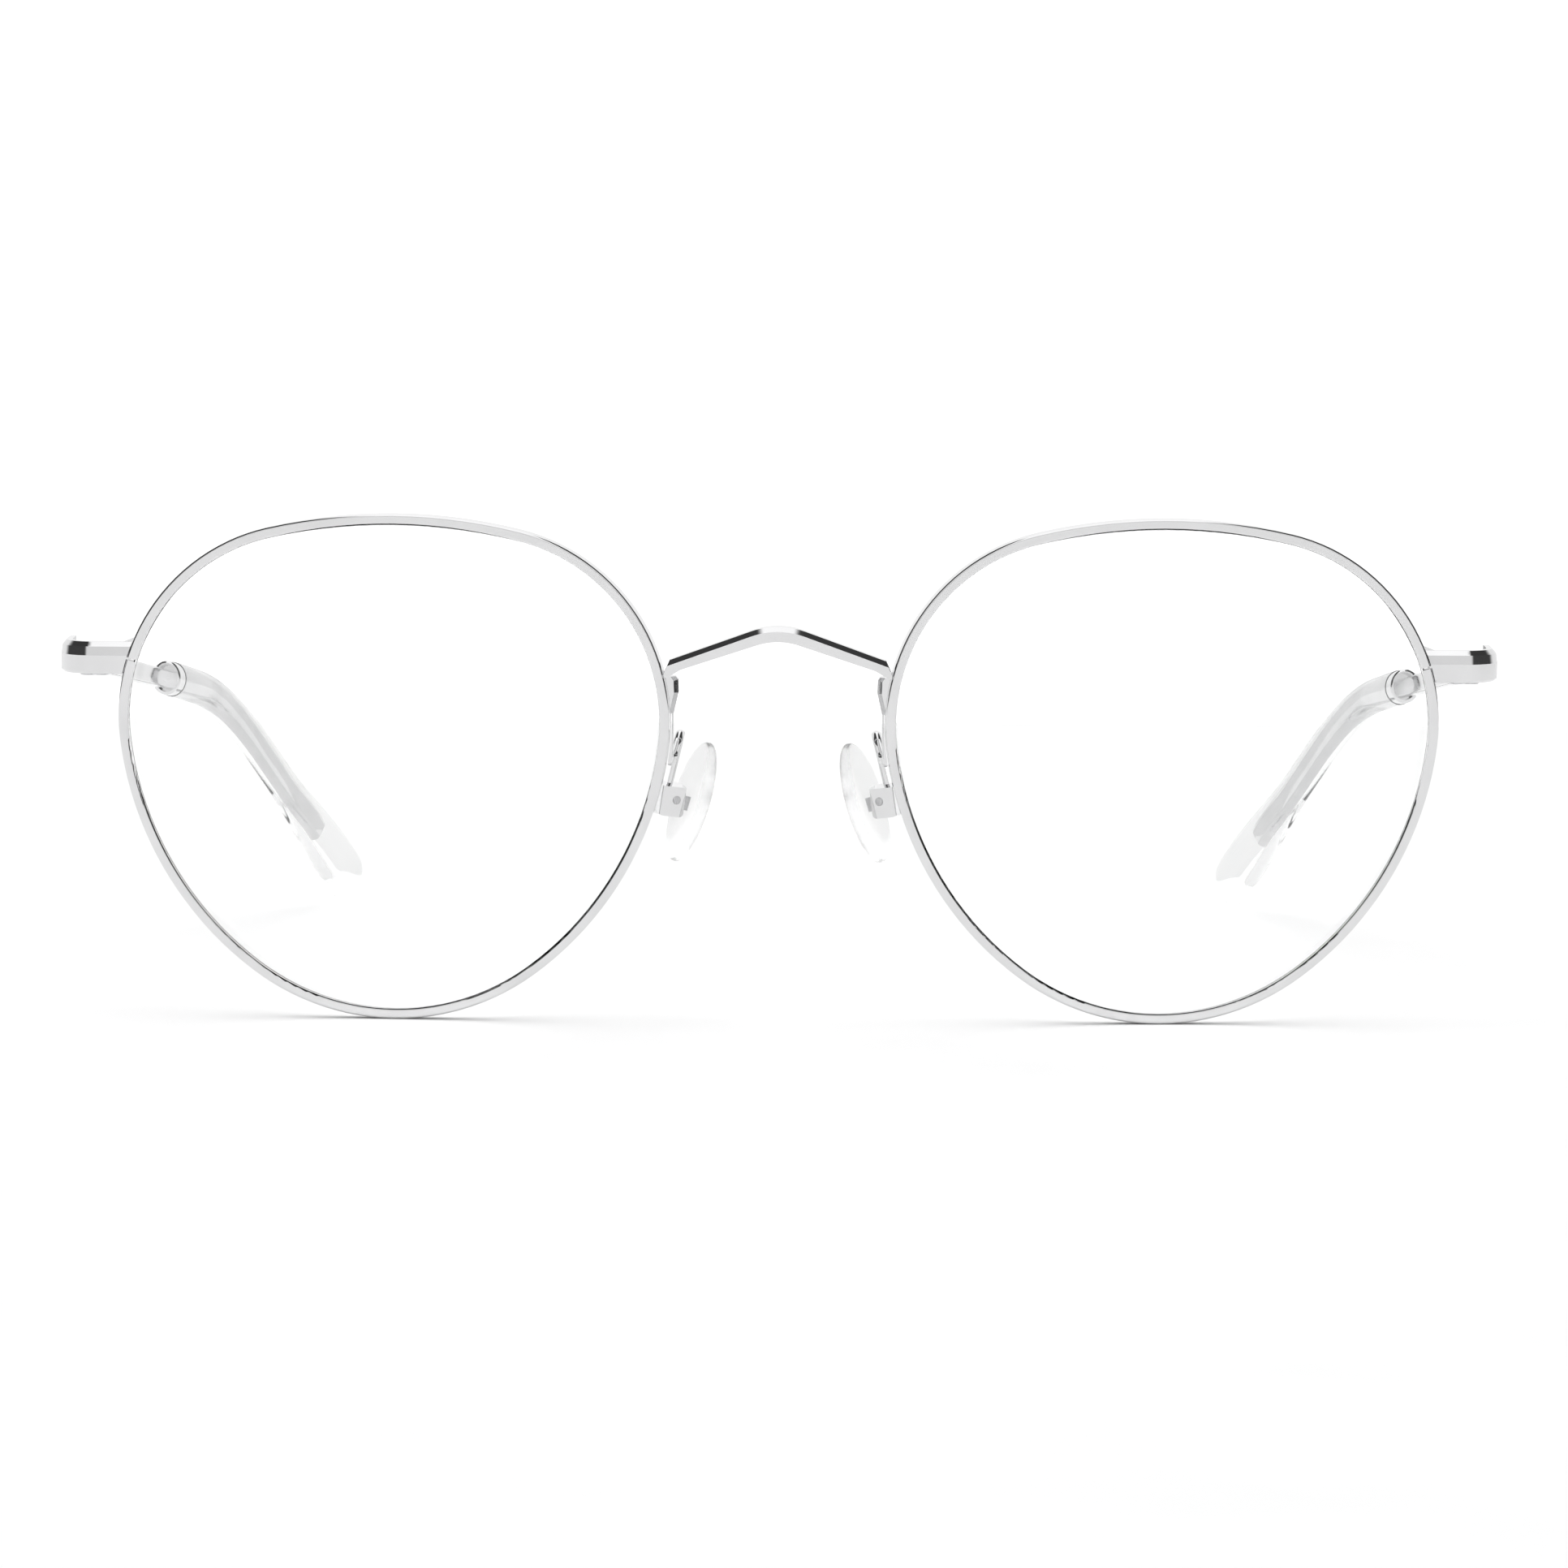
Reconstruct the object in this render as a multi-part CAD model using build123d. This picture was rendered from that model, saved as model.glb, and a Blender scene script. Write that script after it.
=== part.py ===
from build123d import *
import math
import os

# Round wire eyeglasses standing on the rims' lowest points and on the ends of the temples.
# +Z is up, the wearer looks towards -Y, and left means the wearer's left, which is +X.
# The left half is modelled and the right half is its mirror image. Lengths are in mm.

# Eyewire outline: four arcs a side, each running into the next
outline_half_width = 27.2
outline_half_height = 24.8
top_radius = 54.0
corner_radius = 19.1
side_radius = 33.2
bottom_radius = 23.2

# Eyewire section
rim_thickness = 1.0
rim_depth = 2.2
rim_edge_round = 0.22
groove_depth = 0.42
groove_half_width = 0.55

# Where the lenses stand
lens_spacing = 75.0
face_wrap = 4.0
lean = 3.0
lens_height = outline_half_height

# Lens
lens_curve = 130.0
lens_thickness = 1.7
lens_edge_reach = 25.5
lens_clearance = 0.03
bevel_reach = 0.37
bevel_half_width = 0.5

# Bridge, measured from the lens centres' height
bridge_apex_top = 14.5
bridge_apex_bottom = 12.92
bridge_corner_x = 10.5
bridge_corner_z = 10.95
bridge_inner_x = 9.5
bridge_inner_z = 10.0
bridge_end_x = 10.85
bridge_end_z = 9.25
bridge_front = -1.15
bridge_depth = 1.9
bridge_bevel = 0.45
bridge_apex_round = 8.0

# End pieces and closing blocks
half_width = 70.5
hinge_height = lens_height + 10.4
end_thickness = 1.1
end_half_height = 1.57
end_crease = 0.25
end_corner_radius = 3.4
end_length = 6.6
rim_front_reach = 26.2
end_start_x = 61.5
shoulder_rise = 0.9
shoulder_step = 0.45
shoulder_x = (63.0, 64.2)
block_reach = 67.9
block_depth = 2.1
block_half_height = 1.5
block_rise = 1.4
block_corner = 1.0
block_back_corner = 0.4
block_run = 0.05
block_gap = 0.12
lock_screw_x = 66.5
lock_screw_radius = 0.5
lock_head_radius = 0.85
lock_head_height = 0.33
screw_head_round = 0.15
thread_depth = 1.2
thread_gap = 0.02
bore_gap = 0.04

# Temple hinges
knuckle_radius = 1.05
hinge_inset = 1.2
hinge_drop = 1.45
hinge_rise = 1.1
middle_knuckle_half = 0.45
knuckle_gap = 0.07
swing_clearance = 0.12
hinge_screw_radius = 0.57
hinge_bore_radius = 0.6
hinge_head_radius = 0.85
hinge_head_height = 0.4
leaf_thickness = 0.8
leaf_length = 6.5
temple_leaf_low = 1.15
temple_leaf_high = 1.0
butt_gap = 0.1
slot_width = 0.22
slot_depth = 0.18

# Temples
bar_thickness = 1.1
bar_front_height = 2.4
bar_height = 2.15
bar_taper_length = 28.0
core_thickness = 0.95
core_height = 1.9
core_clearance = 0.03
bar_round = 0.3
collar_corner = Vector(68.0, 76.5, 29.4)
ear_corner = Vector(64.4, 104.0, 26.2)
tip_end = Vector(52.2, 138.4, 1.6)
collar_bend = 60.0
ear_bend = 45.0
collar_length = 3.0
collar_half_width = 1.6
collar_half_height = 1.85
collar_wall = 0.35
collar_recess = 1.6
tip_half_width = 1.65
tip_half_height = 1.9
paddle_half_width = 2.1
paddle_half_height = 3.1
tip_offset = 0.75
core_stop = 13.0
tip_nose = 2.8

# Nose pads, their arms and boxes, measured from the lens centres' height
pad_pivot = Vector(10.5, 7.2, lens_height - 3.65)
pad_splay = 25.0
box_tilt = 8.0
pad_tilt = 18.0
pad_rise = 0.3
box_nose_reach = 0.9
box_back_reach = 2.0
box_half_height = 1.65
box_half_width = 1.25
box_slot_half = 0.8
box_slot_half_height = 1.2
box_slot_back = 1.05
box_round = 0.85
pad_screw_radius = 0.4
pad_head_radius = 0.75
pad_head_height = 0.35
boss_radius = 0.95
boss_half_width = 0.72
boss_bore = 0.45
neck_half_height = 0.7
neck_half_width = 0.6
neck_bury = 0.7
pad_back = 1.3
pad_thickness = 1.9
pad_half_length = 6.1
pad_half_width = 3.6
pad_round = 0.85
arm_radius = 0.47
arm_run_x = 10.6
arm_run_y = 2.05
arm_back_y = 4.45
head_x = 9.65
head_rise = 2.95
head_y = (4.85, 7.25)
arm_bend = 1.1
foot_top_rise = 9.2
foot_height = 3.7
foot_waist = 1.6
foot_inner_x = 9.7
foot_outer_x = 11.4
foot_tail_x = 10.15
foot_front = 0.3
foot_depth = 1.9
foot_corner_x = 10.4
foot_bevel = 0.42
box_top_bevel = 0.35
box_top_bevel_depth = 0.95


def polar(centre, radius, angle):
    """The point of a circle in the lens plane, its angle taken from straight up towards +X."""
    turn = math.radians(angle)
    return Vector(centre.X + radius * math.sin(turn), 0, centre.Z + radius * math.cos(turn))


def bearing(start, end):
    """The angle from straight up towards +X of the line between two points of the lens plane."""
    return math.degrees(math.atan2(end.X - start.X, end.Z - start.Z))


def circles_meet(centre_a, radius_a, centre_b, radius_b):
    """Where two circles of the lens plane cross, on the +X side."""
    line = centre_b - centre_a
    along = (radius_a**2 - radius_b**2 + line.length**2) / (2 * line.length)
    across = math.sqrt(radius_a**2 - along**2)
    unit = line.normalized()
    return centre_a + unit * along + Vector(unit.Z, 0, -unit.X) * across


top_centre = Vector(0, 0, outline_half_height - top_radius)
bottom_centre = Vector(0, 0, bottom_radius - outline_half_height)
side_x = outline_half_width - side_radius
side_rise = math.sqrt((side_radius - bottom_radius) ** 2 - side_x**2)
side_centre = Vector(side_x, 0, bottom_centre.Z + side_rise)
corner_centre = circles_meet(
    top_centre, top_radius - corner_radius, side_centre, side_radius - corner_radius
)
top_turn = bearing(top_centre, corner_centre)
side_turn = bearing(side_centre, corner_centre)
bottom_turn = bearing(side_centre, bottom_centre)
split_turn = math.degrees(math.acos((hinge_height - lens_height - corner_centre.Z) / corner_radius))


def mirrored(point):
    return Vector(-point.X, point.Y, point.Z)


def outline_arcs(gap=0.0):
    """The outline's arcs as (centre, radius, from, to), round from the split to the split."""
    return [
        (corner_centre, corner_radius, split_turn + gap, side_turn),
        (side_centre, side_radius, side_turn, bottom_turn),
        (bottom_centre, bottom_radius, bottom_turn, 360 - bottom_turn),
        (mirrored(side_centre), side_radius, 360 - bottom_turn, 360 - side_turn),
        (mirrored(corner_centre), corner_radius, 360 - side_turn, 360 - top_turn),
        (top_centre, top_radius, 360 - top_turn, 360 + top_turn),
        (corner_centre, corner_radius, 360 + top_turn, 360 + split_turn - gap),
    ]


def outline_disc(inset, depth):
    """A plate of the outline's shape, that far inside it, centred on the lens plane."""
    edges = []
    for centre, radius, start, end in outline_arcs():
        points = [polar(centre, radius - inset, turn) for turn in (start, (start + end) / 2, end)]
        edges.append(ThreePointArc(*points))
    return extrude(Face(Wire(edges)), amount=depth / 2, dir=(0, 1, 0), both=True)


def outline_ring(section, gap=0.0):
    """A section carried round the outline; its x is measured outwards from the outline."""
    ring = Part()
    for centre, radius, start, end in outline_arcs(gap):
        outwards = polar(Vector(0, 0, 0), 1, start)
        plane = Plane(origin=centre, x_dir=outwards, z_dir=(-outwards.Z, 0, outwards.X))
        profile = plane * (Pos(radius, 0) * section)
        ring += revolve(profile, axis=Axis(centre, (0, 1, 0)), revolution_arc=end - start)
    return ring


# The left lens's own frame: wrapped back about its nasal edge, and where its front face ends
wrap_turn = math.radians(face_wrap)
lens_y = outline_half_width * math.sin(wrap_turn)
lens_place = Location((lens_spacing / 2, lens_y, lens_height), (0, 0, face_wrap))
end_front = lens_y + rim_front_reach * math.sin(wrap_turn) - rim_depth / 2 * math.cos(wrap_turn)
hinge_y = end_front + end_length
hinge_x = half_width - end_thickness - hinge_inset


def leaned(shape):
    """Tips the front assembly's top towards -Y about the hinges' height."""
    return Pos(0, 0, hinge_height) * Rot(X=lean) * Pos(0, 0, -hinge_height) * shape


def rim():
    wire = RectangleRounded(rim_thickness, rim_depth, rim_edge_round)
    section = Pos(-rim_thickness / 2, 0) * wire
    flare = groove_half_width / groove_depth
    mouth = groove_half_width + 0.1 * flare
    groove = Polygon(
        (-rim_thickness - 0.1, -mouth),
        (-rim_thickness - 0.1, mouth),
        (-rim_thickness + groove_depth, 0),
        align=None,
    )
    gap = math.degrees(block_gap / corner_radius)
    return lens_place * outline_ring(section - groove, gap)


def lens():
    middle = lens_curve - lens_thickness / 2
    centre = Pos(0, math.sqrt(middle**2 - lens_edge_reach**2), 0)
    shell = Sphere(lens_curve) - Sphere(lens_curve - lens_thickness)
    blank = outline_disc(rim_thickness + lens_clearance, 14) & (centre * shell)
    bevel = Polygon(
        (-rim_thickness - 0.5, -bevel_half_width + 0.1),
        (-rim_thickness - 0.5, bevel_half_width - 0.1),
        (-rim_thickness, bevel_half_width),
        (-rim_thickness + bevel_reach, 0),
        (-rim_thickness, -bevel_half_width),
        align=None,
    )
    return lens_place * (blank + outline_ring(bevel))


def rim_cutter():
    """What the eyewire's outline takes away from the pieces soldered against it."""
    return lens_place * outline_disc(0, 16)


def bridge():
    rise = (bridge_apex_top - bridge_corner_z) / bridge_corner_x
    upper = FilletPolyline(
        (-bridge_corner_x, bridge_corner_z),
        (0, bridge_apex_top + rise * 0.7),
        (bridge_corner_x, bridge_corner_z),
        radius=bridge_apex_round,
    )
    lower = FilletPolyline(
        (bridge_inner_x, bridge_inner_z),
        (0, bridge_apex_bottom + rise * 0.6),
        (-bridge_inner_x, bridge_inner_z),
        radius=bridge_apex_round - 1.5,
    )
    right_end = Polyline(
        (bridge_corner_x, bridge_corner_z),
        (bridge_end_x + 0.4, bridge_end_z),
        (bridge_end_x - 0.1, bridge_end_z),
        (bridge_inner_x, bridge_inner_z),
    )
    left_end = mirror(right_end, about=Plane.YZ)
    outline = make_face(Curve() + [upper, right_end, lower, left_end])
    place = Pos(0, bridge_front, lens_height)
    bar = place * extrude(Plane.XZ * outline, amount=bridge_depth, dir=(0, 1, 0))
    ridge = [
        edge
        for edge in bar.edges()
        if abs(edge.center().Y - bridge_front) < 1e-3
        and edge.center().Z > lens_height + bridge_corner_z + 0.3
        and bar_top(edge, rise)
    ]
    bar = chamfer(ridge, length=bridge_bevel)
    cutter = rim_cutter()
    return bar - cutter - mirror(cutter, about=Plane.YZ)


def bar_top(edge, rise):
    """True for an edge along the bridge's upper side."""
    middle = edge.position_at(0.5)
    height = bridge_apex_top - rise * abs(middle.X)
    return middle.Z - lens_height > height - 0.6


def end_section():
    return Polygon(
        (0, -end_half_height + 0.25),
        (0, end_crease),
        (0.12, end_half_height - 0.45),
        (0.5, end_half_height),
        (end_thickness, end_half_height),
        (end_thickness, -end_half_height),
        (0.25, -end_half_height),
        align=None,
    )


def end_piece():
    section = end_section()
    start_x = end_start_x
    corner_x = half_width - end_corner_radius
    corner_y = end_front + end_corner_radius
    face = Plane((start_x, end_front, hinge_height), x_dir=(0, 1, 0), z_dir=(1, 0, 0)) * section
    front = extrude(face, amount=corner_x - start_x, dir=(1, 0, 0))
    bend_face = Plane((corner_x, end_front, hinge_height), x_dir=(0, 1, 0), z_dir=(1, 0, 0)) * section
    bend = revolve(bend_face, axis=Axis((corner_x, corner_y, 0), (0, 0, 1)), revolution_arc=90)
    back_plane = Plane((half_width, corner_y, hinge_height), x_dir=(-1, 0, 0), z_dir=(0, 1, 0))
    back_length = hinge_y - butt_gap / 2 - corner_y
    back = extrude(back_plane * section, amount=back_length, dir=(0, 1, 0))
    shoulder_top = hinge_height + end_half_height
    shoulder = Polygon(
        (start_x, shoulder_top - 0.4),
        (start_x, shoulder_top + shoulder_rise),
        (shoulder_x[0], shoulder_top + shoulder_step),
        (shoulder_x[1], shoulder_top - 0.02),
        (shoulder_x[1], shoulder_top - 0.4),
        align=None,
    )
    web = Pos(0, end_front + 0.5, 0) * extrude(Plane.XZ * shoulder, amount=0.6, dir=(0, 1, 0))
    return front + bend + back + web - rim_cutter()


def upright(radius, low, high, x, y):
    """A vertical cylinder between two heights."""
    return Pos(x, y, (low + high) / 2) * Cylinder(radius, high - low)


def block(x_range, y_range, z_range):
    """A box between two corners."""
    size = [end - start for start, end in (x_range, y_range, z_range)]
    middle = [(start + end) / 2 for start, end in (x_range, y_range, z_range)]
    return Pos(*middle) * Box(*size)


lock_y = end_front + end_thickness + block_depth / 2


def closing_block(front, z_range):
    """A block behind the end piece, its outer corners rounded to sit in the end piece's bend."""
    body = block((end_start_x, block_reach), (front, end_front + end_thickness + block_depth), z_range)
    corners = body.edges().filter_by(Axis.Z).sort_by(Axis.X)[-2:].sort_by(Axis.Y)
    body = fillet(corners[0], block_corner)
    corners = body.edges().filter_by(Axis.Z).sort_by(Axis.X)[-2:].sort_by(Axis.Y)
    body = fillet(corners[-1], block_back_corner)
    return body - rim_cutter()


def closing_block_upper():
    front = end_front + end_thickness
    body = closing_block(front, (hinge_height + block_gap, hinge_height + block_rise))
    top = hinge_height + thread_depth
    thread = upright(lock_screw_radius + thread_gap, hinge_height, top, lock_screw_x, lock_y)
    return body - thread


def closing_block_lower():
    front = end_front + end_thickness + block_run
    body = closing_block(front, (hinge_height - block_half_height, hinge_height - block_gap))
    low = hinge_height - 2 * block_half_height
    bore = upright(lock_screw_radius + bore_gap, low, hinge_height, lock_screw_x, lock_y)
    return body - bore


def slotted(screw, x, y, face_z, inwards):
    """Cuts a driver slot into a screw's end face; inwards is 1 if the metal lies above the face."""
    bottom = min(face_z, face_z + inwards * slot_depth)
    slot = block((x - 2, x + 2), (y - slot_width / 2, y + slot_width / 2), (bottom, bottom + slot_depth))
    return screw - slot


def lock_screw():
    seat = hinge_height - block_half_height
    shank = upright(lock_screw_radius, seat, hinge_height + thread_depth - 0.1, lock_screw_x, lock_y)
    head = upright(lock_head_radius, seat - lock_head_height, seat, lock_screw_x, lock_y)
    head = fillet(head.edges().sort_by(Axis.Z)[0], screw_head_round)
    return slotted(shank + head, lock_screw_x, lock_y, seat - lock_head_height, 1)


def knuckle(low, high):
    return upright(knuckle_radius, hinge_height + low, hinge_height + high, hinge_x, hinge_y)


def sweep_room(low, high):
    """The round space that the other leaf's knuckle turns in."""
    radius = knuckle_radius + swing_clearance
    return upright(radius, hinge_height + low, hinge_height + high, hinge_x, hinge_y)


def hinge_bore():
    return upright(hinge_bore_radius, hinge_height - 5, hinge_height + 5, hinge_x, hinge_y)


leaf_inner = half_width - end_thickness - leaf_thickness
knuckle_foot = middle_knuckle_half + knuckle_gap


def front_hinge_leaf():
    outer = half_width - end_thickness
    plate = block(
        (leaf_inner, outer),
        (end_front + end_corner_radius, hinge_y - butt_gap / 2),
        (hinge_height - hinge_drop, hinge_height + hinge_rise),
    )
    leaf = plate - sweep_room(-knuckle_foot, knuckle_foot)
    leaf += knuckle(knuckle_foot, hinge_rise)
    leaf += knuckle(-hinge_drop, -knuckle_foot)
    return leaf - hinge_bore()


def hinge_screw():
    """Screwed in from below, its end flush with the upper knuckle."""
    seat = hinge_height - hinge_drop
    shank = upright(hinge_screw_radius, seat, hinge_height + hinge_rise, hinge_x, hinge_y)
    head = upright(hinge_head_radius, seat - hinge_head_height, seat, hinge_x, hinge_y)
    head = fillet(head.edges().sort_by(Axis.Z)[0], screw_head_round)
    return slotted(shank + head, hinge_x, hinge_y, seat - hinge_head_height, 1)


bar_start = Vector(half_width - bar_thickness / 2, hinge_y + butt_gap / 2, hinge_height)
temple_path = FilletPolyline(
    bar_start, collar_corner, ear_corner, tip_end, radius=[collar_bend, ear_bend]
)
temple_length = temple_path.length
collar_at = (collar_corner - bar_start).length - 2.5


def temple_plane(distance, offset=0.0):
    """A section plane across the temple: x is level and points inwards, y is up."""
    share = distance / temple_length
    forward = temple_path.tangent_at(share)
    inwards = Vector(0, 0, 1).cross(forward).normalized()
    origin = temple_path.position_at(share) + inwards * offset
    return Plane(origin=origin, x_dir=inwards, z_dir=forward)


core_start = collar_at + collar_length - 0.1
core_end = temple_length - core_stop


def core_wire(clearance):
    """The flat core that runs on from the bar along the temple's route."""
    section = RectangleRounded(
        core_thickness + 2 * clearance, core_height + 2 * clearance, bar_round
    )
    steps = 9
    reach = core_end - core_start
    planes = [temple_plane(core_start + reach * n / (steps - 1)) for n in range(steps)]
    core = loft([plane * section for plane in planes])
    return core + extrude(planes[-1] * section, amount=clearance) if clearance else core


def temple_bar():
    butt = Plane(bar_start, x_dir=(-1, 0, 0), z_dir=(0, 1, 0))
    front = butt * RectangleRounded(bar_thickness, bar_front_height, bar_round)
    sections = [front]
    for distance in (bar_taper_length, collar_at + 3):
        plane = temple_plane(distance)
        sections.append(plane * RectangleRounded(bar_thickness, bar_height, bar_round))
    bar = loft(sections, ruled=True)
    return bar + core_wire(0)


def temple_hinge_leaf(bar):
    outer = half_width - end_thickness
    plate = block(
        (leaf_inner, outer + 0.1),
        (hinge_y + butt_gap / 2, hinge_y + leaf_length),
        (hinge_height - temple_leaf_low, hinge_height + temple_leaf_high),
    )
    plate = fillet(plate.edges().filter_by(Axis.X).sort_by(Axis.Y)[-2:], 0.6)
    leaf = plate + knuckle(-middle_knuckle_half, middle_knuckle_half)
    leaf -= sweep_room(middle_knuckle_half, 4)
    leaf -= sweep_room(-4, -middle_knuckle_half)
    return leaf - hinge_bore() - bar


def ferrule(bar):
    back = temple_plane(collar_at + collar_length, tip_offset)
    body = extrude(back * Ellipse(collar_half_width, collar_half_height), amount=-collar_length)
    front_edges = body.edges().filter_by(GeomType.ELLIPSE).sort_by(Axis.Y)
    body = fillet(front_edges[0], 0.3)
    mouth = temple_plane(collar_at - 0.5, tip_offset)
    hollow = Ellipse(collar_half_width - collar_wall, collar_half_height - collar_wall)
    body -= extrude(mouth * hollow, amount=collar_recess + 0.5)
    return body - bar


def eased(value):
    """A smooth step from 0 to 1."""
    share = min(max(value, 0), 1)
    return share * share * (3 - 2 * share)


def tip_section(distance, start):
    """The clear tip's oval section; it widens into a paddle and ends in a round nose."""
    paddle = eased((distance - temple_length + 26) / 20)
    into_nose = max(0, distance - temple_length + tip_nose) / tip_nose
    shrink = math.sqrt(1 - into_nose**2)
    half_width_here = tip_half_width + (paddle_half_width - tip_half_width) * paddle
    half_height_here = tip_half_height + (paddle_half_height - tip_half_height) * paddle
    offset = tip_offset * (1 - eased((distance - start) / 20))
    plane = temple_plane(distance, offset)
    return plane * Ellipse(half_width_here * shrink, half_height_here * shrink)


def temple_tip():
    start = collar_at + collar_length + 0.02
    body_steps = 14
    reach = temple_length - tip_nose - start
    stations = [start + reach * n / body_steps for n in range(body_steps + 1)]
    stations += [temple_length - tip_nose * (1 - share) for share in (0.3, 0.55, 0.75, 0.88, 0.96)]
    tip = loft([tip_section(distance, start) for distance in stations], ruled=True)
    return tip - core_wire(core_clearance)


def pad_plane(tilt):
    """The pad's frame: x towards the nose, y up, z back along the pad screw; tilt tips the top in."""
    splay = math.radians(pad_splay)
    tip = math.radians(tilt)
    back = Vector(math.sin(splay), math.cos(splay), 0)
    level = Vector(-math.cos(splay), math.sin(splay), 0)
    nose = level * math.cos(tip) - Vector(0, 0, 1) * math.sin(tip)
    return Plane(origin=pad_pivot, x_dir=nose, z_dir=back)


def pad_box():
    low_x = -box_back_reach
    shell = block(
        (low_x, box_nose_reach),
        (-box_half_height, box_half_height),
        (-box_half_width, box_half_width),
    )
    back_edges = shell.faces().sort_by(Axis.X)[0].edges()
    shell = fillet(back_edges, box_round)
    cheek_corners = shell.edges().filter_by(Axis.Z).sort_by(Axis.X)[-2:]
    shell = fillet(cheek_corners, 0.45)
    shell -= top_bevel_cutter()
    shell -= block(
        (-box_slot_back, 3),
        (-box_slot_half_height, box_slot_half_height),
        (-box_slot_half, box_slot_half),
    )
    return shell - Cylinder(pad_screw_radius + 0.02, 6)


def top_bevel_cutter():
    """Takes the pad box's upper front edge down to a bevel."""
    slope = box_top_bevel / box_top_bevel_depth
    spare = 0.2
    section = Polygon(
        (box_half_height - box_top_bevel - spare * slope, -box_half_width - spare),
        (box_half_height + spare, -box_half_width + box_top_bevel_depth + spare / slope),
        (box_half_height + spare, -box_half_width - spare),
        align=None,
    )
    reach = box_back_reach + 1
    return extrude(Plane.YZ * section, amount=reach, dir=(1, 0, 0), both=True)


def pad_screw():
    shank_low = -box_half_width
    shank_high = box_half_width
    shank = Pos(0, 0, (shank_low + shank_high) / 2) * Cylinder(
        pad_screw_radius, shank_high - shank_low
    )
    head = Pos(0, 0, shank_high + pad_head_height / 2) * Cylinder(pad_head_radius, pad_head_height)
    head = fillet(head.edges().sort_by(Axis.Z)[-1], 0.12)
    slot_low = shank_high + pad_head_height - slot_depth
    slot = block((-2, 2), (-slot_width / 2, slot_width / 2), (slot_low, slot_low + 1))
    return shank + head - slot


def neck():
    return block(
        (0, pad_back + neck_bury),
        (-neck_half_height, neck_half_height),
        (-neck_half_width, neck_half_width),
    )


def pad_insert():
    boss = Cylinder(boss_radius, 2 * boss_half_width)
    return boss + neck() - Cylinder(boss_bore, 6)


def nose_pad():
    face = Plane((pad_back, pad_rise, 0), x_dir=(0, 1, 0), z_dir=(1, 0, 0))
    body = extrude(face * Ellipse(pad_half_length, pad_half_width), amount=pad_thickness)
    body = fillet(body.edges().filter_by(GeomType.ELLIPSE), pad_round)
    return body - neck()


def pad_arm(box):
    foot_top = lens_height + foot_top_rise
    foot = Polygon(
        (foot_inner_x + 0.05, foot_top - 0.3),
        (foot_inner_x + 0.25, foot_top),
        (foot_outer_x, foot_top),
        (foot_outer_x, foot_top - foot_height),
        (foot_tail_x, foot_top - foot_height + 0.1),
        (foot_inner_x, foot_top - foot_waist),
        align=None,
    )
    plate = Pos(0, foot_front, 0) * extrude(Plane.XZ * foot, amount=foot_depth, dir=(0, 1, 0))
    front_edges = [
        edge
        for edge in plate.edges()
        if abs(edge.center().Y - foot_front) < 1e-3 and edge.center().X < foot_corner_x
    ]
    plate = chamfer(front_edges, length=foot_bevel)
    top = pad_plane(0).from_local_coords((-0.45, box_half_height - 0.3, 0))
    route = FilletPolyline(
        (arm_run_x, arm_run_y - 0.33, foot_top - 0.8),
        (arm_run_x + 0.05, arm_run_y, lens_height + 0.75),
        (arm_run_x - 0.25, arm_back_y, lens_height + 0.45),
        (head_x, head_y[0], lens_height + head_rise),
        (head_x, head_y[1], lens_height + head_rise - 0.1),
        top,
        radius=[arm_bend, arm_bend, arm_bend - 0.05, arm_bend - 0.05],
    )
    start = Plane(origin=route @ 0, z_dir=route % 0)
    wire = sweep(start * Circle(arm_radius), path=route)
    return plate + wire - rim_cutter() - box


def pad_assembly():
    place = pad_plane(box_tilt)
    padded = pad_plane(pad_tilt)
    box = place * pad_box()
    return {
        "pad_box": box,
        "pad_screw": place * pad_screw(),
        "pad_arm": pad_arm(box),
        "pad_insert": padded * pad_insert(),
        "nose_pad": padded * nose_pad(),
    }


def left_half():
    """Every piece of the left side by name, standing where it belongs."""
    front = {
        "rim": rim(),
        "lens": lens(),
        "end_piece": end_piece(),
        "closing_block_upper": closing_block_upper(),
        "closing_block_lower": closing_block_lower(),
        "lock_screw": lock_screw(),
        **pad_assembly(),
    }
    pieces = {name: leaned(shape) for name, shape in front.items()}
    bar = temple_bar()
    pieces["front_hinge_leaf"] = front_hinge_leaf()
    pieces["hinge_screw"] = hinge_screw()
    pieces["temple_bar"] = bar
    pieces["temple_hinge_leaf"] = temple_hinge_leaf(bar)
    pieces["ferrule"] = ferrule(bar)
    pieces["temple_tip"] = temple_tip()
    return pieces


def main():
    nodes = {"bridge": leaned(bridge())}
    for name, shape in left_half().items():
        nodes[f"left_{name}"] = shape
        nodes[f"right_{name}"] = mirror(shape, about=Plane.YZ)
    boxes = [shape.bounding_box() for shape in nodes.values()]
    front_y = min(box.min.Y for box in boxes)
    back_y = max(box.max.Y for box in boxes)
    floor_z = min(box.min.Z for box in boxes)
    origin = Pos(0, -(front_y + back_y) / 2, -floor_z)
    print(f"front {front_y:.3f} back {back_y:.3f} floor {floor_z:.3f}")
    os.makedirs("parts", exist_ok=True)
    for name, shape in nodes.items():
        export_step(origin * shape, f"parts/{name}.step")


main()
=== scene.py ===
import math

import bmesh
import bpy
from mathutils import Matrix, Vector


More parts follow.
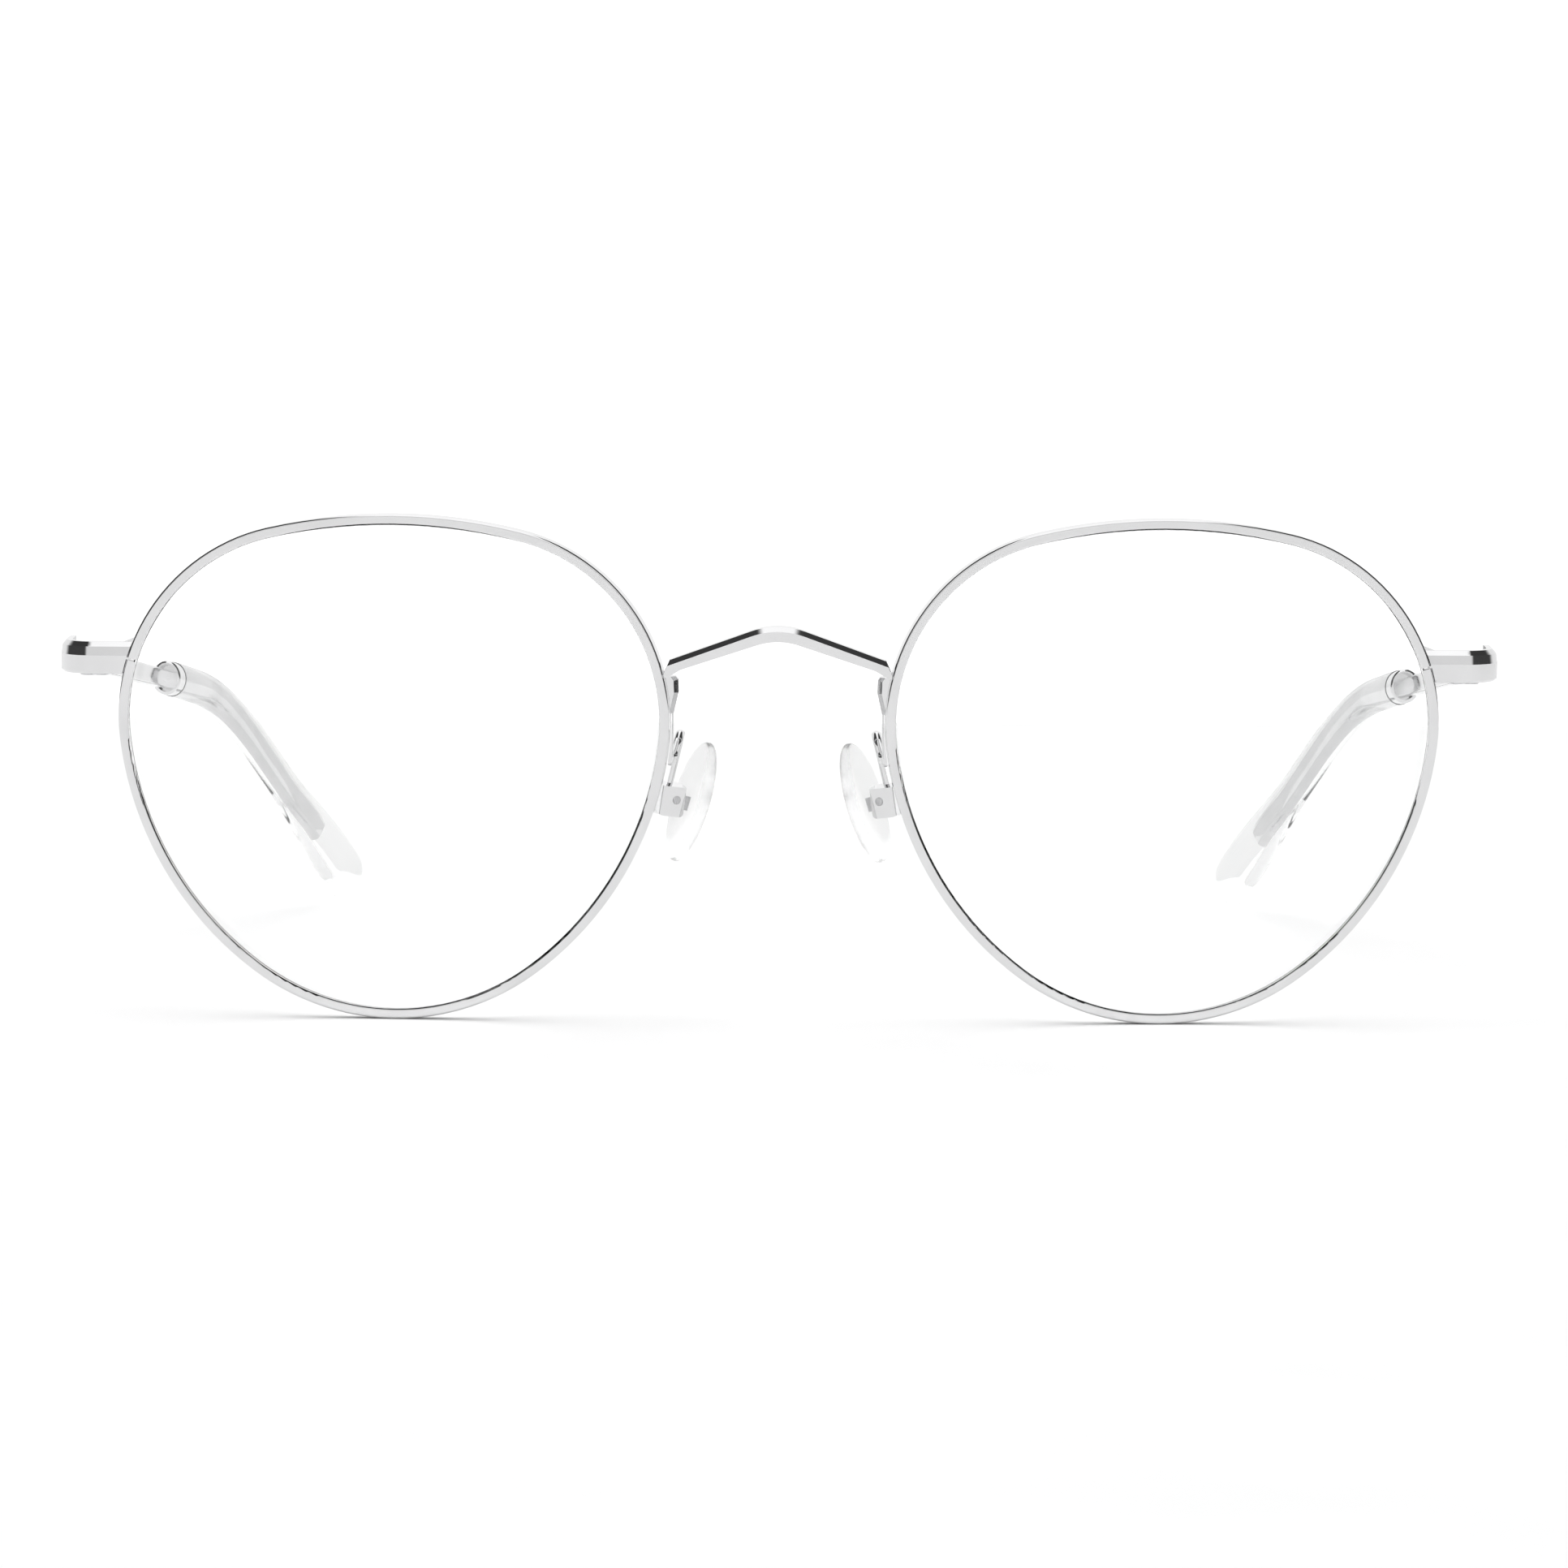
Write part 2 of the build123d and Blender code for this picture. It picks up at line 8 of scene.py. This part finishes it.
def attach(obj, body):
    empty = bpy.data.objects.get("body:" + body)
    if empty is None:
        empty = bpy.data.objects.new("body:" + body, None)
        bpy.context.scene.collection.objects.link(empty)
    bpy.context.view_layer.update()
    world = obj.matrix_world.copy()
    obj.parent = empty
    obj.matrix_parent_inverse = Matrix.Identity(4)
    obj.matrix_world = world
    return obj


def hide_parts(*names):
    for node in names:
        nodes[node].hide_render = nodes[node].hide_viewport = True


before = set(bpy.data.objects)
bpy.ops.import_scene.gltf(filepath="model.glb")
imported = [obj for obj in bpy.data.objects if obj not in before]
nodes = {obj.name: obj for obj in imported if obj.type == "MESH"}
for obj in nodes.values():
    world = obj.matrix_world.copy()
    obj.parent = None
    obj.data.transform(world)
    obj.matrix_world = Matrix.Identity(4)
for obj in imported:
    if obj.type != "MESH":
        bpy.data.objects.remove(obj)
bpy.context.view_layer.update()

# Round wire eyeglasses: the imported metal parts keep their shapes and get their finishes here,
# and the clear temple tips and nose pads are modelled as solid clear pieces over their metal cores.

scene = bpy.context.scene
mm = 0.001
sides = {"left": 1, "right": -1}  # the wearer's left is +X
noiseSpan = (0.3, 0.7)  # most of a noise's values lie between these
print("frame loaded:", len(nodes), "parts")


def newMaterial(name):
    mat = bpy.data.materials.new(name)
    mat.use_nodes = True
    shader = mat.node_tree.nodes["Principled BSDF"]
    return mat, shader


def addNode(tree, kind, label, **inputs):
    node = tree.nodes.new(kind)
    node.label = label
    for key, value in inputs.items():
        node.inputs[key.replace("_", " ")].default_value = value
    return node


def ownCoordinates(tree, stretch=(1, 1, 1)):
    place = tree.nodes.new("ShaderNodeTexCoord")
    mapping = tree.nodes.new("ShaderNodeMapping")
    mapping.inputs["Scale"].default_value = stretch
    tree.links.new(place.outputs["Object"], mapping.inputs["Vector"])
    return mapping.outputs["Vector"]


def noiseFrom(tree, vector, label, scale, detail=3.0, rough=0.5):
    noise = addNode(tree, "ShaderNodeTexNoise", label, Scale=scale, Detail=detail, Roughness=rough)
    tree.links.new(vector, noise.inputs["Vector"])
    return noise.outputs["Fac"]


def spread(tree, value, low, high, span=noiseSpan, smooth=False):
    # carries the span of values over to low and high
    ranged = addNode(
        tree, "ShaderNodeMapRange", "spread", From_Min=span[0], From_Max=span[1], To_Min=low, To_Max=high
    )
    if smooth:
        ranged.interpolation_type = "SMOOTHSTEP"
    tree.links.new(value, ranged.inputs["Value"])
    return ranged.outputs["Result"]


def tones(tree, value, dark, light):
    ramp = tree.nodes.new("ShaderNodeValToRGB")
    for stop, position, colour in zip(ramp.color_ramp.elements, noiseSpan, (dark, light)):
        stop.position = position
        stop.color = (*colour, 1)
    tree.links.new(value, ramp.inputs["Fac"])
    return ramp.outputs["Color"]


def bumpFrom(tree, height, strength, distance):
    bump = addNode(tree, "ShaderNodeBump", "surface", Strength=strength, Distance=distance)
    tree.links.new(height, bump.inputs["Height"])
    return bump.outputs["Normal"]


def dress(tree, shader, colour, rough, normal=None):
    tree.links.new(colour, shader.inputs["Base Color"])
    tree.links.new(rough, shader.inputs["Roughness"])
    if normal is not None:
        tree.links.new(normal, shader.inputs["Normal"])


def letShadowsThrough(mat, shader):
    # light reaches the table through the clear piece instead of stopping at it
    tree = mat.node_tree
    output = tree.nodes["Material Output"]
    path = tree.nodes.new("ShaderNodeLightPath")
    clear = tree.nodes.new("ShaderNodeBsdfTransparent")
    mix = tree.nodes.new("ShaderNodeMixShader")
    tree.links.new(path.outputs["Is Shadow Ray"], mix.inputs["Fac"])
    tree.links.new(shader.outputs["BSDF"], mix.inputs[1])
    tree.links.new(clear.outputs["BSDF"], mix.inputs[2])
    tree.links.new(mix.outputs["Shader"], output.inputs["Surface"])


def makeClear(mat, shader, index):
    shader.inputs["Transmission Weight"].default_value = 1.0
    shader.inputs["IOR"].default_value = index
    letShadowsThrough(mat, shader)


silverLook = {
    "dark": (0.71, 0.71, 0.715),
    "light": (0.75, 0.75, 0.755),
    "cloudScale": 260.0,
    "roughLow": 0.055,
    "roughHigh": 0.075,
    "drawn": (1, 0.12, 1),  # hairlines are longer from front to back
    "hairlineScale": 3000.0,
    "hairlineDetail": 2.0,
    "hairlineGrit": 0.6,
    "hairlineStrength": 0.4,
    "hairlineDepth": 0.0000002,
}


def polishedSilver():
    look = silverLook
    mat, shader = newMaterial("polishedSilver")
    tree = mat.node_tree
    cloud = noiseFrom(tree, ownCoordinates(tree), "plating clouds", look["cloudScale"])
    drawn = ownCoordinates(tree, look["drawn"])
    hairline = noiseFrom(
        tree, drawn, "hairlines", look["hairlineScale"], look["hairlineDetail"], look["hairlineGrit"]
    )
    colour = tones(tree, cloud, look["dark"], look["light"])
    rough = spread(tree, hairline, look["roughLow"], look["roughHigh"])
    normal = bumpFrom(tree, hairline, look["hairlineStrength"], look["hairlineDepth"])
    dress(tree, shader, colour, rough, normal)
    shader.inputs["Metallic"].default_value = 1.0
    return mat


screwLook = {
    "dark": (0.50, 0.50, 0.51),
    "light": (0.64, 0.64, 0.65),
    "speckleScale": 2400.0,
    "turnScale": 14.0,
    "turnWander": 0.4,
    "turnStrength": 0.5,
    "turnDepth": 0.000006,
    "roughLow": 0.2,
    "roughHigh": 0.34,
}


def turnedSteel():
    look = screwLook
    mat, shader = newMaterial("turnedSteel")
    tree = mat.node_tree
    place = tree.nodes.new("ShaderNodeTexCoord")
    centred = tree.nodes.new("ShaderNodeMapping")
    centred.inputs["Location"].default_value = (-0.5, -0.5, 0)  # the rings run round the screw's middle
    tree.links.new(place.outputs["Generated"], centred.inputs["Vector"])
    rings = addNode(
        tree, "ShaderNodeTexWave", "lathe rings", Scale=look["turnScale"], Distortion=look["turnWander"]
    )
    rings.wave_type = "RINGS"
    rings.rings_direction = "Z"
    tree.links.new(centred.outputs["Vector"], rings.inputs["Vector"])
    turned = rings.outputs["Fac"]
    speckle = noiseFrom(tree, ownCoordinates(tree), "speckle", look["speckleScale"])
    colour = tones(tree, speckle, look["dark"], look["light"])
    rough = spread(tree, turned, look["roughLow"], look["roughHigh"], (0, 1))
    dress(tree, shader, colour, rough, bumpFrom(tree, turned, look["turnStrength"], look["turnDepth"]))
    shader.inputs["Metallic"].default_value = 1.0
    return mat


lensLook = {
    "index": 1.5,
    "tintDark": (0.985, 0.99, 0.99),
    "tintLight": (1.0, 1.0, 1.0),
    "smearScale": 55.0,
    "smearDetail": 4.0,
    "roughLow": 0.0,
    "roughHigh": 0.012,
}


def clearLens():
    look = lensLook
    mat, shader = newMaterial("clearLens")
    tree = mat.node_tree
    smear = noiseFrom(tree, ownCoordinates(tree), "wiped film", look["smearScale"], look["smearDetail"])
    colour = tones(tree, smear, look["tintDark"], look["tintLight"])
    dress(tree, shader, colour, spread(tree, smear, look["roughLow"], look["roughHigh"]))
    makeClear(mat, shader, look["index"])
    return mat


acetateLook = {
    "index": 1.22,
    "tintDark": (0.80, 0.805, 0.805),
    "tintLight": (0.86, 0.86, 0.86),
    "flow": (1, 0.35, 1),  # flow lines are longer from front to back
    "flowScale": 120.0,
    "buffScale": 900.0,
    "buffDetail": 2.0,
    "roughLow": 0.02,
    "roughHigh": 0.06,
    "waveStrength": 0.25,
    "waveDepth": 0.00004,
}


def clearAcetate():
    look = acetateLook
    mat, shader = newMaterial("clearAcetate")
    tree = mat.node_tree
    flow = noiseFrom(tree, ownCoordinates(tree, look["flow"]), "flow lines", look["flowScale"])
    buffed = noiseFrom(tree, ownCoordinates(tree), "buffing", look["buffScale"], look["buffDetail"])
    colour = tones(tree, flow, look["tintDark"], look["tintLight"])
    rough = spread(tree, buffed, look["roughLow"], look["roughHigh"])
    dress(tree, shader, colour, rough, bumpFrom(tree, flow, look["waveStrength"], look["waveDepth"]))
    makeClear(mat, shader, look["index"])
    return mat


siliconeLook = {
    "index": 1.2,
    "tintDark": (0.82, 0.825, 0.825),
    "tintLight": (0.87, 0.87, 0.87),
    "hazeScale": 350.0,
    "grainScale": 1600.0,
    "roughLow": 0.14,
    "roughHigh": 0.26,
    "grainStrength": 0.3,
    "grainDepth": 0.000008,
}


def clearSilicone():
    look = siliconeLook
    mat, shader = newMaterial("clearSilicone")
    tree = mat.node_tree
    grain = noiseFrom(tree, ownCoordinates(tree), "moulded grain", look["grainScale"])
    haze = noiseFrom(tree, ownCoordinates(tree), "haze", look["hazeScale"])
    colour = tones(tree, haze, look["tintDark"], look["tintLight"])
    rough = spread(tree, grain, look["roughLow"], look["roughHigh"])
    dress(tree, shader, colour, rough, bumpFrom(tree, grain, look["grainStrength"], look["grainDepth"]))
    makeClear(mat, shader, look["index"])
    return mat


silver = polishedSilver()
steel = turnedSteel()
acetate = clearAcetate()
silicone = clearSilicone()
finishOf = {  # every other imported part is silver
    "lens": clearLens(),
    "lock_screw": steel,
    "hinge_screw": steel,
    "pad_screw": steel,
    "temple_tip": acetate,
    "nose_pad": silicone,
    "pad_insert": steel,
}
for name, node in nodes.items():
    part = name.split("_", 1)[-1]  # without its side
    for matSlot in node.material_slots:
        matSlot.material = finishOf.get(part, silver)
print("finishes made and given to the packed parts")


def pieceFromMesh(name, bm, mat):
    bmesh.ops.recalc_face_normals(bm, faces=bm.faces)
    for face in bm.faces:
        face.smooth = True
    mesh = bpy.data.meshes.new(name)
    bm.to_mesh(mesh)
    bm.free()
    mesh.materials.append(mat)
    piece = bpy.data.objects.new(name, mesh)
    scene.collection.objects.link(piece)
    return piece


def skinRings(bm, rings):
    # quads between neighbouring rings, with a fan of triangles to a centre point at each end
    loops = [[bm.verts.new(point) for point in ring] for ring in rings]
    count = len(loops[0])
    for near, far in zip(loops, loops[1:]):
        for i in range(count):
            j = (i + 1) % count
            bm.faces.new((near[i], near[j], far[j], far[i]))
    for loop in (loops[0], loops[-1]):
        hub = bm.verts.new(sum((v.co for v in loop), Vector()) / count)
        for i in range(count):
            bm.faces.new((loop[i], loop[(i + 1) % count], hub))


# The left temple's route: straight from the hinge to the collar, bent there, and bent again behind the ear.
templeRoute = {
    "start": Vector((69.95, -59.519, 35.099)) * mm,
    "collarCorner": Vector((68.0, 7.703, 29.299)) * mm,
    "earCorner": Vector((64.4, 35.203, 26.099)) * mm,
    "end": Vector((52.2, 69.603, 1.499)) * mm,
    "collarBend": 60 * mm,
    "earBend": 45 * mm,
}

tipShape = {
    "halfWidth": 1.65 * mm,
    "halfHeight": 1.9 * mm,
    "paddleHalfWidth": 2.1 * mm,
    "paddleHalfHeight": 3.1 * mm,
    "paddleStart": 26 * mm,  # measured back from the end
    "paddleBlend": 20 * mm,
    "nose": 2.8 * mm,
    "offset": 0.75 * mm,
    "offsetBlend": 20 * mm,
    "mouthGap": 0.52 * mm,  # from the collar's corner to the clear mouth
    "mouthRound": 0.18 * mm,
    "mouthSteps": (0, 0.35, 0.7),
    "stations": 72,
    "noseSteps": 12,
    "around": 48,
}


def bend(before, corner, after, radius):
    ahead = (corner - before).normalized()
    onward = (after - corner).normalized()
    turn = ahead.angle(onward)
    trim = radius * math.tan(turn / 2)
    across = (onward - ahead * ahead.dot(onward)).normalized()
    return {"ahead": ahead, "across": across, "turn": turn, "radius": radius, "length": radius * turn,
            "from": corner - ahead * trim, "to": corner + onward * trim}


def straight(start, end):
    return {"from": start, "ahead": (end - start).normalized(), "length": (end - start).length}


def routeRuns():
    r = templeRoute
    first = bend(r["start"], r["collarCorner"], r["earCorner"], r["collarBend"])
    second = bend(r["collarCorner"], r["earCorner"], r["end"], r["earBend"])
    return [
        straight(r["start"], first["from"]),
        first,
        straight(first["to"], second["from"]),
        second,
        straight(second["to"], r["end"]),
    ]


templeRuns = routeRuns()
templeLength = sum(run["length"] for run in templeRuns)


def routePoint(distance):
    # position and direction that far along the route
    for run in templeRuns:
        if distance <= run["length"] or run is templeRuns[-1]:
            break
        distance -= run["length"]
    if "radius" not in run:
        return run["from"] + run["ahead"] * distance, run["ahead"]
    radius = run["radius"]
    turn = distance / radius
    forward = run["ahead"] * radius * math.sin(turn)
    sideways = run["across"] * radius * (1 - math.cos(turn))
    return run["from"] + forward + sideways, run["ahead"] * math.cos(turn) + run["across"] * math.sin(turn)


def eased(value):
    share = min(max(value, 0), 1)
    return share * share * (3 - 2 * share)


def tipRing(distance, start, inset=0.0):
    s = tipShape
    place, along = routePoint(distance)
    inwards = Vector((0, 0, 1)).cross(along).normalized()
    upwards = along.cross(inwards)
    paddle = eased((distance - templeLength + s["paddleStart"]) / s["paddleBlend"])
    intoNose = max(0, distance - templeLength + s["nose"]) / s["nose"]
    shrink = math.sqrt(max(0, 1 - intoNose**2))
    wide = (s["halfWidth"] + (s["paddleHalfWidth"] - s["halfWidth"]) * paddle - inset) * shrink
    tall = (s["halfHeight"] + (s["paddleHalfHeight"] - s["halfHeight"]) * paddle - inset) * shrink
    place = place + inwards * s["offset"] * (1 - eased((distance - start) / s["offsetBlend"]))
    ring = []
    for i in range(s["around"]):
        turn = 2 * math.pi * i / s["around"]
        ring.append(place + inwards * wide * math.cos(turn) + upwards * tall * math.sin(turn))
    return ring


def clearTip(side, flip):
    s = tipShape
    start = (templeRoute["collarCorner"] - templeRoute["start"]).length + s["mouthGap"]
    reach = templeLength - s["nose"] - start
    rings = []
    for share in s["mouthSteps"]:  # the mouth's eased lip
        angle = share * math.pi / 2
        inset = s["mouthRound"] * (1 - math.sin(angle))
        rings.append(tipRing(start + s["mouthRound"] * (1 - math.cos(angle)), start, inset))
    for n in range(s["stations"] + 1):
        share = n / s["stations"]
        rings.append(tipRing(start + s["mouthRound"] + (reach - s["mouthRound"]) * share, start))
    for n in range(1, s["noseSteps"]):
        angle = n / s["noseSteps"] * math.pi / 2
        rings.append(tipRing(templeLength - s["nose"] * (1 - math.sin(angle)), start))
    bm = bmesh.new()
    skinRings(bm, [[Vector((p.x * flip, p.y, p.z)) for p in ring] for ring in rings])
    tip = pieceFromMesh(f"{side}_clear_tip", bm, acetate)
    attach(tip, f"{side}_temple")
    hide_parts(f"{side}_temple_tip")


for side, flip in sides.items():
    clearTip(side, flip)
print("clear temple tips made")


padShape = {
    "pivot": Vector((10.5, -60.871, 21.445)) * mm,
    "splay": 25.0,
    "tilt": 18.0,
    "rise": 0.3 * mm,
    "lean": 3.0,
    "back": 1.3 * mm,
    "thickness": 1.9 * mm,
    "halfLength": 6.1 * mm,
    "halfWidth": 3.6 * mm,
    "edge": 0.62,  # lower is squarer
    "crown": 0.35 * mm,  # how far the skin side falls away towards its edge
    "crownFade": 0.3,
    "rings": 26,
    "around": 64,
}


def padFrame():
    # x towards the nose, y up the pad, z back along the pad screw
    s = padShape
    splay = math.radians(s["splay"])
    tilt = math.radians(s["tilt"])
    back = Vector((math.sin(splay), math.cos(splay), 0))
    level = Vector((-math.cos(splay), math.sin(splay), 0))
    nose = level * math.cos(tilt) - Vector((0, 0, 1)) * math.sin(tilt)
    up = back.cross(nose)
    leaned = Matrix.Rotation(math.radians(s["lean"]), 3, "X")
    return leaned @ nose, leaned @ up, leaned @ back


def nosePad(side, flip):
    s = padShape
    nose, up, back = padFrame()
    middle = s["back"] + s["thickness"] / 2
    rings = []
    for n in range(1, s["rings"]):
        angle = math.pi * n / s["rings"]
        reach = math.sin(angle) ** s["edge"]
        high = math.copysign(abs(math.cos(angle)) ** s["edge"], math.cos(angle)) * s["thickness"] / 2
        depth = middle + high - s["crown"] * reach**2 * max(0, math.cos(angle)) ** s["crownFade"]
        ring = []
        for i in range(s["around"]):
            turn = 2 * math.pi * i / s["around"]
            along = math.cos(turn) * s["halfLength"] * reach + s["rise"]
            wide = math.sin(turn) * s["halfWidth"] * reach
            point = s["pivot"] + nose * depth + up * along + back * wide
            ring.append(Vector((point.x * flip, point.y, point.z)))
        rings.append(ring)
    bm = bmesh.new()
    skinRings(bm, rings)
    pad = pieceFromMesh(f"{side}_clear_pad", bm, silicone)
    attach(pad, f"{side}_pad")
    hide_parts(f"{side}_nose_pad")


for side, flip in sides.items():
    nosePad(side, flip)
print("clear nose pads made")


tableLook = {
    "width": 3.0,
    "front": -1.1,
    "back": 0.42,
    "dark": (0.93, 0.93, 0.93),
    "light": (0.96, 0.96, 0.96),
    "grainScale": 30.0,
    "roughness": 0.85,
    "shine": 0.1,
    "drop": 0.02 * mm,  # how far under the rims the top lies
}


def paleTable():
    mat, shader = newMaterial("paleTable")
    tree = mat.node_tree
    grain = noiseFrom(tree, ownCoordinates(tree), "paper tooth", tableLook["grainScale"])
    colour = tones(tree, grain, tableLook["dark"], tableLook["light"])
    tree.links.new(colour, shader.inputs["Base Color"])
    shader.inputs["Roughness"].default_value = tableLook["roughness"]
    shader.inputs["Specular IOR Level"].default_value = tableLook["shine"]
    half = tableLook["width"] / 2
    bm = bmesh.new()
    corners = ((-half, "front"), (half, "front"), (half, "back"), (-half, "back"))
    bm.faces.new([bm.verts.new((x, tableLook[edge], 0)) for x, edge in corners])
    mesh = bpy.data.meshes.new("paleTable")
    bm.to_mesh(mesh)
    bm.free()
    mesh.materials.append(mat)
    table = bpy.data.objects.new("paleTable", mesh)
    table.location.z = -tableLook["drop"]
    scene.collection.objects.link(table)


# Brightness of each part of the room; an edge is the span over which one part goes over to the next.
studio = {
    "backdrop": 1.25,
    "strip": 1.3,
    "stripEdge": (0.20, 0.30),  # how far to the sides the overhead strip reaches
    "stripLow": (0.5, 0.7),
    "overheadShade": 0.05,
    "front": 0.87,
    "frontEdge": (0.38, 0.55),
    "sideShade": 0.06,
    "behind": 1.0,
    "behindEdge": (0.1, 0.5),
    "horizonEdge": (-0.02, 0.02),
    "underTable": 0.10,
    "underBehind": 0.95,
    "underDarkEdge": (0.08, 0.13),  # how far to the sides the dark gap behind the table reaches
    "lampEnergy": 20.0,
    "lampSize": (2.6, 2.6),
    "lampPlace": (-0.10, 0.1, 1.2),
    "lampAim": (0, 0, 0.03),
}


def combine(tree, operation, a, b):
    node = tree.nodes.new("ShaderNodeMath")
    node.operation = operation
    for socket, value in zip(node.inputs, (a, b)):
        if isinstance(value, (int, float)):
            socket.default_value = value
        else:
            tree.links.new(value, socket)
    return node.outputs["Value"]


def blend(tree, low, high, share):
    rest = combine(tree, "MULTIPLY", combine(tree, "SUBTRACT", 1.0, share), low)
    return combine(tree, "ADD", rest, combine(tree, "MULTIPLY", share, high))


def studioRoom():
    # a bright strip overhead and a pale room in front and behind, dark at the sides,
    # so that the metal shows its edges
    world = bpy.data.worlds.new("studio")
    scene.world = world
    world.use_nodes = True
    tree = world.node_tree
    background = tree.nodes["Background"]
    place = tree.nodes.new("ShaderNodeTexCoord")
    split = tree.nodes.new("ShaderNodeSeparateXYZ")
    tree.links.new(place.outputs["Generated"], split.inputs["Vector"])
    backwards, upwards = split.outputs["Y"], split.outputs["Z"]
    sideways = combine(tree, "ABSOLUTE", split.outputs["X"], 0.0)

    def step(value, low, high, edge):
        return spread(tree, value, low, high, studio[edge], smooth=True)

    isBehind = step(backwards, 0.0, 1.0, "behindEdge")
    front = step(sideways, studio["front"], studio["sideShade"], "frontEdge")
    room = blend(tree, front, studio["behind"], isBehind)
    strip = step(sideways, studio["strip"], studio["overheadShade"], "stripEdge")
    upper = blend(tree, room, strip, step(upwards, 0.0, 1.0, "stripLow"))
    gap = step(sideways, studio["underTable"], studio["underBehind"], "underDarkEdge")
    under = blend(tree, studio["underTable"], gap, isBehind)
    sky = blend(tree, under, upper, step(upwards, 0.0, 1.0, "horizonEdge"))

    # what is seen straight or through a clear piece is the plain backdrop
    path = tree.nodes.new("ShaderNodeLightPath")
    seen = combine(tree, "MAXIMUM", path.outputs["Is Camera Ray"], path.outputs["Is Transmission Ray"])
    tree.links.new(blend(tree, sky, studio["backdrop"], seen), background.inputs["Strength"])
    background.inputs["Color"].default_value = (1, 1, 1, 1)


def softLamp():
    # lights the table evenly and stays out of the metal's reflections
    lamp = bpy.data.lights.new("overheadSoftbox", "AREA")
    lamp.shape = "RECTANGLE"
    lamp.size, lamp.size_y = studio["lampSize"]
    lamp.energy = studio["lampEnergy"]
    holder = bpy.data.objects.new("overheadSoftbox", lamp)
    holder.location = studio["lampPlace"]
    aim = Vector(studio["lampAim"]) - holder.location
    holder.rotation_euler = aim.to_track_quat("-Z", "Y").to_euler()
    holder.visible_glossy = False
    scene.collection.objects.link(holder)


cameraPlace = {
    "position": Vector((0.0065, -0.6888, 0.0669)),
    "lens": 146.5,
    "sensor": 36.0,
    "down": 4.0,  # degrees, as are the next two
    "turn": -0.54,
    "roll": 0.36,
    "clip": (0.01, 20),
}


def studioCamera():
    c = cameraPlace
    data = bpy.data.cameras.new("frontCamera")
    data.lens = c["lens"]
    data.sensor_width = c["sensor"]
    data.clip_start, data.clip_end = c["clip"]
    camera = bpy.data.objects.new("frontCamera", data)
    turned = Matrix.Rotation(math.radians(-c["turn"]), 4, "Z")
    lowered = Matrix.Rotation(math.radians(90 - c["down"]), 4, "X")
    rolled = Matrix.Rotation(math.radians(c["roll"]), 4, "Z")
    camera.matrix_world = Matrix.Translation(c["position"]) @ turned @ lowered @ rolled
    scene.collection.objects.link(camera)
    bpy.context.scene.camera = camera


paleTable()
studioRoom()
softLamp()
studioCamera()
scene.view_settings.view_transform = "Standard"
print("table, light and camera placed")

bpy.context.view_layer.update()
